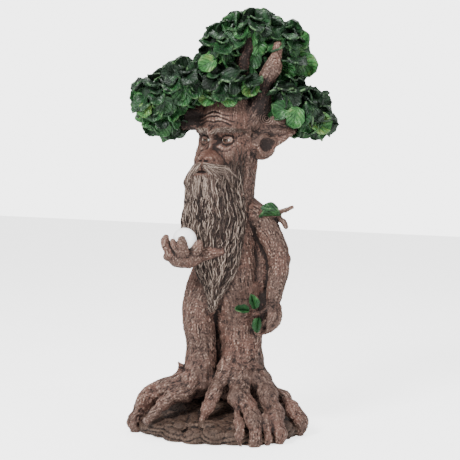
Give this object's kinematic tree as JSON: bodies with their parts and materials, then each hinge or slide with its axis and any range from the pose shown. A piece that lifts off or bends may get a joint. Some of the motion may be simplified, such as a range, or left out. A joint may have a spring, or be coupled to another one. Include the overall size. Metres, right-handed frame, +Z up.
{
  "type": "bearded tree man garden statue",
  "caption": "Free-standing cast resin statue of a bearded tree man with root feet on a rocky oval base and a leafy crown, holding up a white globe.",
  "frame": {"origin": "middle of the oval base's flat underside", "axes": "+Z up, the face looks towards -Y, +X to the right as the face is seen, along the base's length"},
  "size_m": [0.3442, 0.2563, 0.7267],
  "materials": {
    "bark_resin": "cast resin painted as brown bark, with a dark wash in its grooves and pinkish beige brushed over its ridges",
    "leaf_paint": "deep green satin paint, lighter and yellower towards the leaf edges",
    "eye_paint": "off-white painted eye with a dark iris",
    "white_globe": "smooth glossy white"
  },
  "bodies": {
    "root": {"tree_man": "bark_resin", "globe": "white_globe"}
  },
  "joints": []
}
